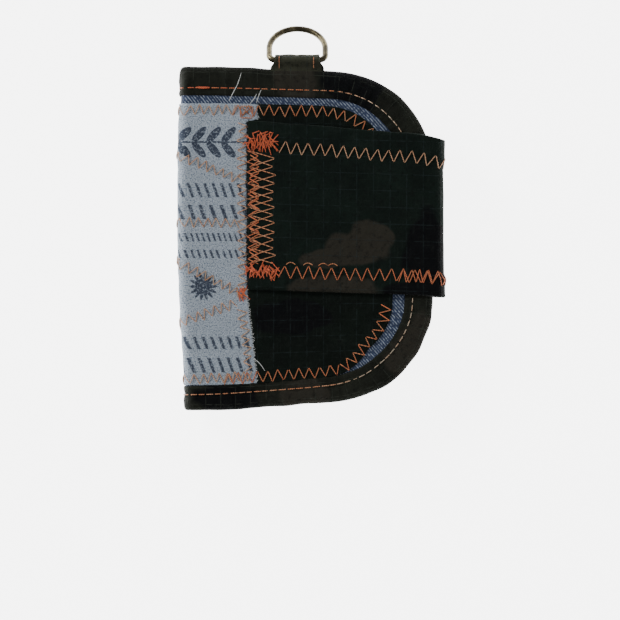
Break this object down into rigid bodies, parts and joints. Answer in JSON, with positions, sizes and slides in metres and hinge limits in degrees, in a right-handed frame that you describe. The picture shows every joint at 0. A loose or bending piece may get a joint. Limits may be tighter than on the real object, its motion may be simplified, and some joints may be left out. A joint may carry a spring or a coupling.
{
  "type": "trifold wallet",
  "caption": "Sewn cloth trifold wallet with a rounded free edge, patched leaves, a wrap-round hook-and-loop strap and a D-ring on a cloth loop.",
  "frame": {"origin": "on the flat outer face of the strap tail, which the closed wallet lies on, under the middle of the leaves' outline", "axes": "+X from the spine to the rounded free edge, +Y towards the D-ring, +Z out of the front leaf"},
  "size_m": [0.0933, 0.1351, 0.0193],
  "materials": {
    "denim": "twill weave, matt",
    "lining_cloth": "plain weave, matt",
    "dark_ripstop": "blotched ripstop weave, matt",
    "print_cloth": "pale chambray with an abstract grey print",
    "binding_tape": "folded ripstop tape, matt",
    "loop_cloth": "folded ripstop tab, matt",
    "orange_thread": "matt sewing thread",
    "fastener_hook": "moulded hooks",
    "fastener_loop": "brushed loops",
    "clear_vinyl": "clear sheet",
    "aged_metal": "antique, worn bright on the high side"
  },
  "bodies": {
    "back_leaf": {"back_base": "denim", "back_lining": "lining_cloth", "back_binding": "binding_tape", "back_print_patch": "print_cloth", "back_dark_patch": "dark_ripstop", "loop_tape": "fastener_loop", "bill_pocket": "lining_cloth", "bill_pocket_seams": "lining_cloth", "card_pocket": "lining_cloth", "card_pocket_seams": "lining_cloth", "back_binding_stitch": "orange_thread", "back_patch_stitch": "orange_thread"},
    "spine": {"spine_base": "denim", "spine_print_patch": "print_cloth", "spine_lining": "lining_cloth"},
    "front_leaf": {"front_base": "denim", "front_lining": "lining_cloth", "front_binding": "binding_tape", "front_print_patch": "print_cloth", "front_dark_patch": "dark_ripstop", "id_window": "clear_vinyl", "id_window_seams": "lining_cloth", "front_binding_stitch": "orange_thread", "front_patch_stitch": "orange_thread", "strap_front": "dark_ripstop", "strap_hem_stitch": "orange_thread", "strap_anchor_stitch": "orange_thread", "strap_bar_tacks": "orange_thread", "ring_loop": "loop_cloth", "ring_loop_stitch": "orange_thread"},
    "d_ring": {"d_ring": "aged_metal"},
    "neck": {"neck_shell": "dark_ripstop", "neck_lining": "lining_cloth"},
    "inner_leaf": {"inner_skin": "dark_ripstop", "inner_core": "dark_ripstop", "inner_lining": "lining_cloth", "inner_binding": "binding_tape", "slip_pocket": "lining_cloth", "slip_pocket_seams": "lining_cloth"},
    "strap_side": {"strap_side": "dark_ripstop"},
    "strap_tail": {"strap_tail": "dark_ripstop", "hook_tape": "fastener_hook"}
  },
  "joints": [
    {"name": "spine_fold", "type": "hinge", "parent": "back_leaf", "child": "spine", "pos_m": [-0.04386, 0, 0.00464], "axis": [0, -1, 0], "range_deg": [0, 90], "deforming": ["strap_side", "strap_tail", "hook_tape"]},
    {"name": "front_fold", "type": "hinge", "parent": "spine", "child": "front_leaf", "pos_m": [-0.04386, 0, 0.01626], "axis": [0, -1, 0], "range_deg": [0, 90]},
    {"name": "neck_fold", "type": "hinge", "parent": "back_leaf", "child": "neck", "pos_m": [0.04461, 0, 0.00449], "axis": [0, 1, 0], "range_deg": [0, 90]},
    {"name": "inner_fold", "type": "hinge", "parent": "neck", "child": "inner_leaf", "pos_m": [0.04461, 0, 0.00881], "axis": [0, 1, 0], "range_deg": [0, 90]},
    {"name": "strap_side_fold", "type": "hinge", "parent": "front_leaf", "child": "strap_side", "pos_m": [0.04686, 0, 0.01776], "axis": [0, -1, 0], "range_deg": [0, 90]},
    {"name": "strap_tail_fold", "type": "hinge", "parent": "strap_side", "child": "strap_tail", "pos_m": [0.04686, 0, 0.00104], "axis": [0, -1, 0], "range_deg": [0, 90]},
    {"name": "ring_swing", "type": "hinge", "parent": "front_leaf", "child": "d_ring", "pos_m": [-0.0034, 0.0623, 0.0176], "axis": [1, 0, 0], "range_deg": [-55, 180]}
  ],
  "couplings": [
    {"joint": "front_fold", "follows": "spine_fold", "ratio": 1},
    {"joint": "neck_fold", "follows": "spine_fold", "ratio": 1},
    {"joint": "inner_fold", "follows": "spine_fold", "ratio": 1},
    {"joint": "strap_tail_fold", "follows": "strap_side_fold", "ratio": 1}
  ]
}
